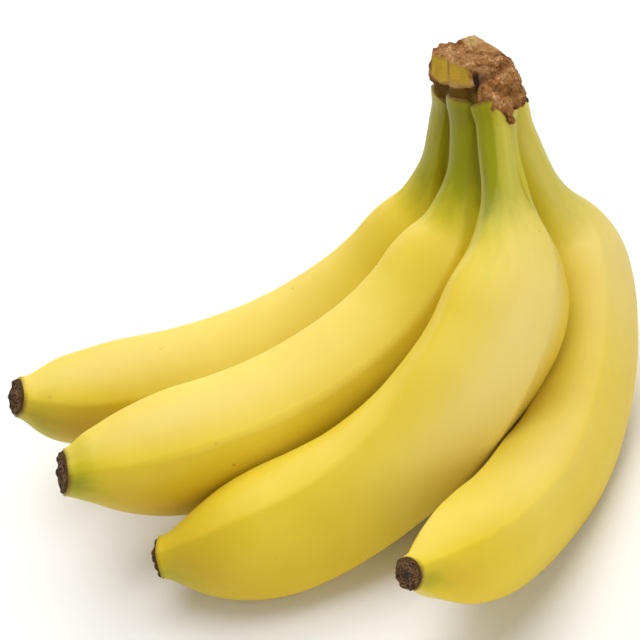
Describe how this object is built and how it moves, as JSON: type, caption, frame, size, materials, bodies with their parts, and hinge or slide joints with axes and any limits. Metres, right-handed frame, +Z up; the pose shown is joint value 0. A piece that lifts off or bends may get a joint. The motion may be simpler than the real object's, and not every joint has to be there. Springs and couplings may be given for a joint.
{
  "type": "bunch of bananas",
  "caption": "Bunch of ripe yellow bananas joined at a brown corky crown, with green necks and dark dried blossom ends, lying on its outer curves.",
  "frame": {"origin": "on the surface the bunch rests on, below the middle of its bounding box", "axes": "+Z up; the fruits point towards -X and the crown rises at +X; banana_1 is at +Y and the tip of banana_4 at -Y"},
  "size_m": [0.2093, 0.1893, 0.1161],
  "materials": {
    "peel": "ripe banana peel: waxy satin yellow, olive green towards the neck and just behind the blossom end",
    "crown_tissue": "dried crown tissue: rough, corky brown, with paler yellow cut faces",
    "dried_blossom": "dried blossom end: rough, fibrous, very dark brown"
  },
  "bodies": {
    "root": {"crown": "crown_tissue", "banana_1": "peel", "banana_2": "peel", "banana_3": "peel", "banana_4": "peel", "blossom_end_1": "dried_blossom", "blossom_end_2": "dried_blossom", "blossom_end_3": "dried_blossom", "blossom_end_4": "dried_blossom"}
  },
  "joints": []
}
